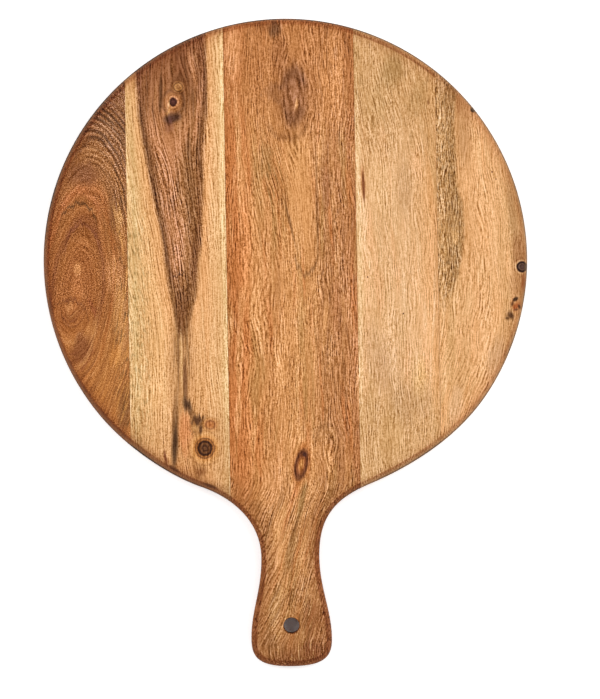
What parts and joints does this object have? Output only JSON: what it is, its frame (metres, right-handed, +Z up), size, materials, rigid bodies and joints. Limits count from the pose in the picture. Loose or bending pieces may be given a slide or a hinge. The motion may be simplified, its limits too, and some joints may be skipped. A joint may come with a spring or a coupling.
{
  "type": "round cutting board",
  "caption": "Round wooden cutting and serving board, edge-glued from staves of unlike width, with rounded rims and an integral waisted handle pierced by a hanging hole.",
  "frame": {"origin": "centre of the disc, on the underside that the board lies on", "axes": "+Z up through the cutting face, handle towards -Y, staves run along Y, +X to the right with the handle towards the viewer"},
  "size_m": [0.3048, 0.4084, 0.015],
  "materials": {
    "russet_heartwood": "oiled, satin",
    "heart_and_sapwood": "oiled, satin",
    "amber_heartwood": "oiled, satin",
    "straw_sapwood": "oiled, satin",
    "honey_sapwood": "oiled, satin",
    "cured_glue": "sanded flush, oiled"
  },
  "bodies": {
    "root": {"stave_left_outer": "russet_heartwood", "stave_left_inner": "heart_and_sapwood", "stave_handle": "amber_heartwood", "stave_right_inner": "straw_sapwood", "stave_right_outer": "honey_sapwood", "glue_line_left_outer": "cured_glue", "glue_line_left_inner": "cured_glue", "glue_line_right_inner": "cured_glue", "glue_line_right_outer": "cured_glue"}
  },
  "joints": []
}
